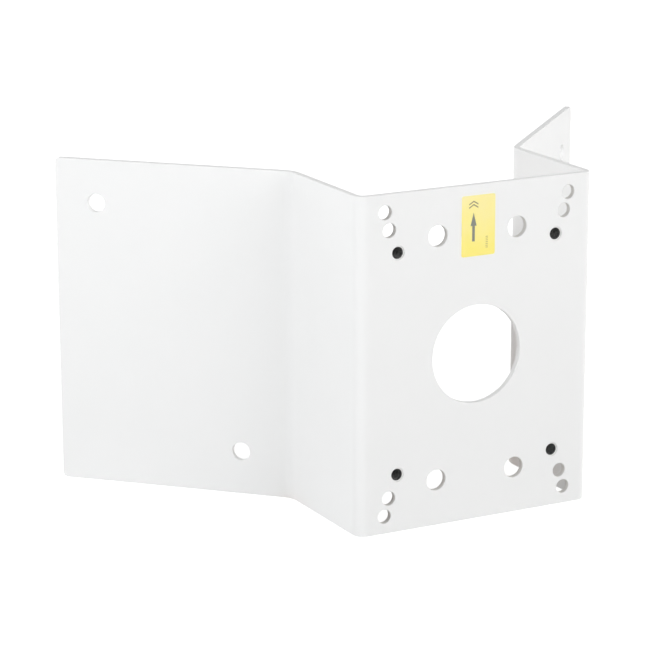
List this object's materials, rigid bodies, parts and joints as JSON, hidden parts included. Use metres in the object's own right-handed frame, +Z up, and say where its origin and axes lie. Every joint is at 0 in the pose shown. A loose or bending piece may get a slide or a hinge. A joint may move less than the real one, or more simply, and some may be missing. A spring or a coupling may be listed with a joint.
{
  "type": "camera corner mount bracket",
  "caption": "Folded sheet-metal bracket for an outside wall corner: a front plate with bolt holes round a cable hole, and angled wings that bolt to the walls.",
  "frame": {"origin": "centre of the bolt patterns and of the cable hole, on the front plate's outer face", "axes": "+Z up as the bracket hangs, +X across the front plate to the right as seen from the front, +Y back towards the corner of the wall"},
  "size_m": [0.3648, 0.1911, 0.2],
  "materials": {
    "bracket_coat": "smooth satin white powder coat on steel",
    "nut_coat": "white powder coat outside, bare dark thread inside",
    "label_film": "pale yellow printed film with a dark arrow"
  },
  "bodies": {
    "root": {"folded_bracket": "bracket_coat", "weld_nut_upper_left": "nut_coat", "weld_nut_upper_right": "nut_coat", "weld_nut_lower_left": "nut_coat", "weld_nut_lower_right": "nut_coat", "orientation_label": "label_film"}
  },
  "joints": []
}
